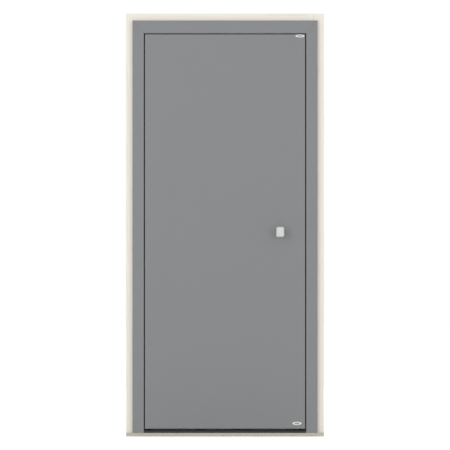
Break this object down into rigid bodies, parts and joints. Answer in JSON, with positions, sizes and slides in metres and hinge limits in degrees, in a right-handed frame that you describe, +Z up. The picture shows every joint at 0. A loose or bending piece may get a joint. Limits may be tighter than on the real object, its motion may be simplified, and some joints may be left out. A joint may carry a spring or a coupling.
{
  "type": "wood-aluminium front door",
  "caption": "Inward-opening front door: flush aluminium-faced leaf in a timber frame with aluminium shells, flat dark threshold, stone sill, pull knob, lever and butt hinges.",
  "frame": {"origin": "middle of the sill's underside", "axes": "+Z up, -Y outside, +Y inside the house, +X towards the lock jamb as seen from outside"},
  "size_m": [1.1, 0.226, 2.35],
  "materials": {
    "timber": "satin",
    "grey_aluminium": "matte",
    "dark_aluminium": "matte",
    "thermal_break": "matte",
    "stone": "matte",
    "rubber": "matte",
    "fibre_core": "matte",
    "steel": "satin"
  },
  "bodies": {
    "frame": {"sill_slab": "stone", "threshold_outer": "dark_aluminium", "threshold_break": "thermal_break", "threshold_inner": "dark_aluminium", "hinge_jamb": "timber", "lock_jamb": "timber", "frame_head": "timber", "hinge_jamb_cladding": "grey_aluminium", "lock_jamb_cladding": "grey_aluminium", "head_cladding": "grey_aluminium", "outer_seal": "rubber", "inner_seal": "rubber", "lower_strike_plate": "steel", "main_strike_plate": "steel", "upper_strike_plate": "steel", "bottom_hinge_frame_wing": "steel", "bottom_hinge_pin": "steel", "middle_hinge_frame_wing": "steel", "middle_hinge_pin": "steel", "top_hinge_frame_wing": "steel", "top_hinge_pin": "steel"},
    "leaf": {"leaf_outer_panel": "grey_aluminium", "leaf_hinge_stile": "timber", "leaf_lock_stile": "timber", "leaf_top_rail": "timber", "leaf_bottom_rail": "timber", "leaf_core": "fibre_core", "leaf_inner_board": "timber", "leaf_outer_seal": "rubber", "leaf_bottom_seal": "rubber", "lock_faceplate": "steel", "lock_bolts": "steel", "knob_rosette": "steel", "pull_knob": "steel", "lever_rosette": "steel", "lever_handle": "steel", "thumb_turn_rosette": "steel", "thumb_turn": "steel", "bottom_hinge_leaf_wing": "steel", "middle_hinge_leaf_wing": "steel", "top_hinge_leaf_wing": "steel"}
  },
  "joints": [
    {"name": "leaf_swing", "type": "hinge", "parent": "frame", "child": "leaf", "pos_m": [-0.495, 0.068, 1.1465], "axis": [0, 0, 1], "range_deg": [0, 110]}
  ]
}
